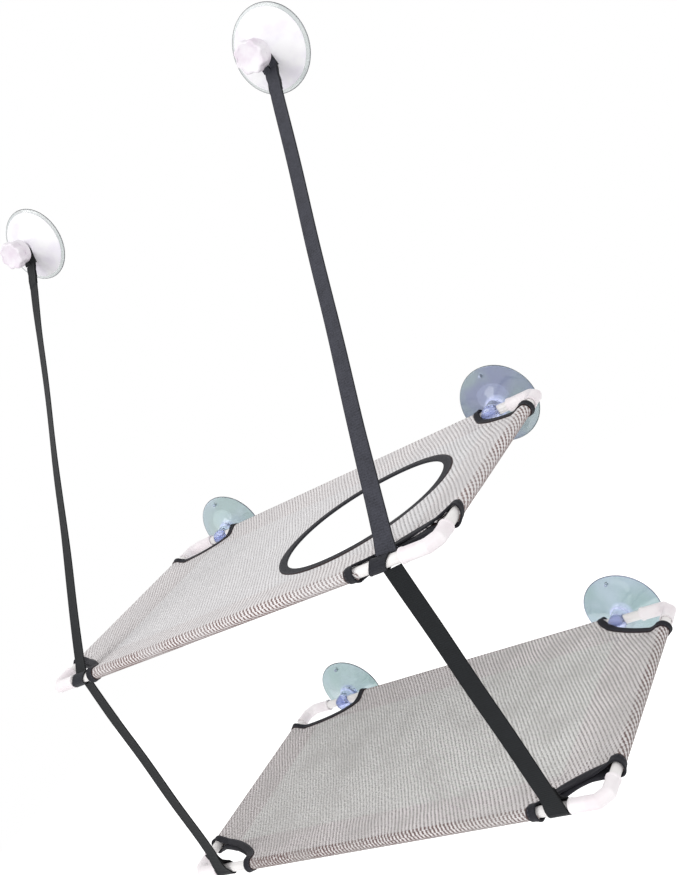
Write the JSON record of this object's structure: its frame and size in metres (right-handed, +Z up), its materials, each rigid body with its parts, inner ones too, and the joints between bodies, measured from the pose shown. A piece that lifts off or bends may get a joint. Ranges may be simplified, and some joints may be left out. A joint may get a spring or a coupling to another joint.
{
  "type": "cat window hammock",
  "caption": "Two-tier mesh cat hammock on tube frames, hung on a window by suction cups and webbing straps, with a climb-through hole in the upper shelf.",
  "frame": {"origin": "on the glass plane, middle of the width, at the height of the upper shelf's tube axes", "axes": "+Z up along the glass, +Y out of the room through the glass, +X to the right as seen from the room"},
  "size_m": [0.5956, 0.3419, 0.847],
  "materials": {
    "clear_vinyl": "gloss",
    "painted_tube": "gloss",
    "moulded_elbow": "gloss",
    "white_plastic": "gloss",
    "plated_steel": "plated",
    "binding_tape": "woven tape",
    "mesh_fabric": "open woven mesh",
    "webbing": "woven webbing"
  },
  "bodies": {
    "window_mounts": {"upper_shelf_left_cup": "clear_vinyl", "upper_shelf_right_cup": "clear_vinyl", "lower_shelf_left_cup": "clear_vinyl", "lower_shelf_right_cup": "clear_vinyl", "top_left_cup": "clear_vinyl", "top_left_cover": "white_plastic", "top_left_stud": "plated_steel", "top_right_cup": "clear_vinyl", "top_right_cover": "white_plastic", "top_right_stud": "plated_steel", "left_upper_strap": "webbing", "right_upper_strap": "webbing"},
    "upper_shelf": {"upper_back_tube": "painted_tube", "upper_front_tube": "painted_tube", "upper_left_tube": "painted_tube", "upper_right_tube": "painted_tube", "upper_back_left_elbow": "moulded_elbow", "upper_back_right_elbow": "moulded_elbow", "upper_front_left_elbow": "moulded_elbow", "upper_front_right_elbow": "moulded_elbow", "upper_back_left_binding": "binding_tape", "upper_back_right_binding": "binding_tape", "upper_front_left_binding": "binding_tape", "upper_front_right_binding": "binding_tape", "upper_mesh_shelf": "mesh_fabric", "hole_binding": "binding_tape", "left_strap_hitch": "webbing", "right_strap_hitch": "webbing"},
    "lower_shelf": {"lower_back_tube": "painted_tube", "lower_front_tube": "painted_tube", "lower_left_tube": "painted_tube", "lower_right_tube": "painted_tube", "lower_back_left_elbow": "moulded_elbow", "lower_back_right_elbow": "moulded_elbow", "lower_front_left_elbow": "moulded_elbow", "lower_front_right_elbow": "moulded_elbow", "lower_back_left_binding": "binding_tape", "lower_back_right_binding": "binding_tape", "lower_front_left_binding": "binding_tape", "lower_front_right_binding": "binding_tape", "lower_mesh_shelf": "mesh_fabric"},
    "left_lower_strap": {"left_lower_strap": "webbing"},
    "right_lower_strap": {"right_lower_strap": "webbing"},
    "left_knob": {"left_knob": "white_plastic"},
    "right_knob": {"right_knob": "white_plastic"}
  },
  "joints": [
    {"name": "upper_shelf_fold", "type": "hinge", "parent": "window_mounts", "child": "upper_shelf", "pos_m": [0, -0.025, 0], "axis": [-1, 0, 0], "range_deg": [0, 75], "deforming": ["left_upper_strap", "right_upper_strap"]},
    {"name": "lower_shelf_fold", "type": "hinge", "parent": "window_mounts", "child": "lower_shelf", "pos_m": [0, -0.025, -0.293], "axis": [-1, 0, 0], "range_deg": [0, 75]},
    {"name": "left_lower_strap_swing", "type": "hinge", "parent": "upper_shelf", "child": "left_lower_strap", "pos_m": [-0.2355, -0.333, 0], "axis": [-1, 0, 0], "range_deg": [-75, 0]},
    {"name": "right_lower_strap_swing", "type": "hinge", "parent": "upper_shelf", "child": "right_lower_strap", "pos_m": [0.2355, -0.333, 0], "axis": [-1, 0, 0], "range_deg": [-75, 0]},
    {"name": "left_knob_turn", "type": "hinge", "parent": "window_mounts", "child": "left_knob", "pos_m": [-0.2265, -0.045, 0.459], "axis": [0, -1, 0], "continuous": true},
    {"name": "right_knob_turn", "type": "hinge", "parent": "window_mounts", "child": "right_knob", "pos_m": [0.2265, -0.045, 0.459], "axis": [0, -1, 0], "continuous": true}
  ],
  "couplings": [
    {"joint": "lower_shelf_fold", "follows": "upper_shelf_fold", "ratio": 1},
    {"joint": "left_lower_strap_swing", "follows": "upper_shelf_fold", "ratio": -1},
    {"joint": "right_lower_strap_swing", "follows": "upper_shelf_fold", "ratio": -1}
  ]
}
